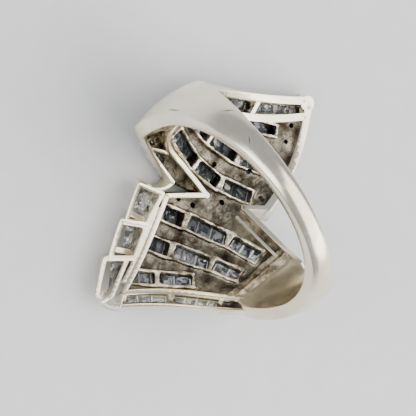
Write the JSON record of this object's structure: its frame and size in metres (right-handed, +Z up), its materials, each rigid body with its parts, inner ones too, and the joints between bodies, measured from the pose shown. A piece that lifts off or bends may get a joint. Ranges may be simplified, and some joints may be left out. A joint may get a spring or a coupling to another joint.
{
  "type": "bypass_ring",
  "caption": "Bypass cocktail ring of polished white metal: two pierced fans of clear step cut stones pass each other across the finger, with a stepped group of boxed stones at one end",
  "frame": {"origin": "middle of the surface that the ring rests on", "axes": "Y runs along the finger, with the boxed stones towards +Y; Z is up, from the front of the head to the far side of the band; X runs across the finger"},
  "size_m": [0.02, 0.0258, 0.0205],
  "materials": {
    "white_metal": "polished",
    "clear_stone": "polished"
  },
  "bodies": {
    "root": {"mounting": "white_metal", "lower_field_stones": "clear_stone", "upper_field_stones": "clear_stone", "step_stone_1": "clear_stone", "step_stone_2": "clear_stone", "step_stone_3": "clear_stone", "lower_baguette_1": "clear_stone", "lower_baguette_2": "clear_stone", "lower_baguette_3": "clear_stone", "lower_baguette_4": "clear_stone", "lower_baguette_5": "clear_stone", "lower_baguette_6": "clear_stone", "lower_baguette_7": "clear_stone", "upper_baguette_1": "clear_stone", "upper_baguette_2": "clear_stone", "upper_baguette_3": "clear_stone", "upper_baguette_4": "clear_stone", "upper_baguette_5": "clear_stone", "upper_baguette_6": "clear_stone", "upper_baguette_7": "clear_stone", "arm_baguette_1": "clear_stone", "arm_baguette_2": "clear_stone", "arm_baguette_3": "clear_stone", "arm_baguette_4": "clear_stone"}
  },
  "joints": []
}
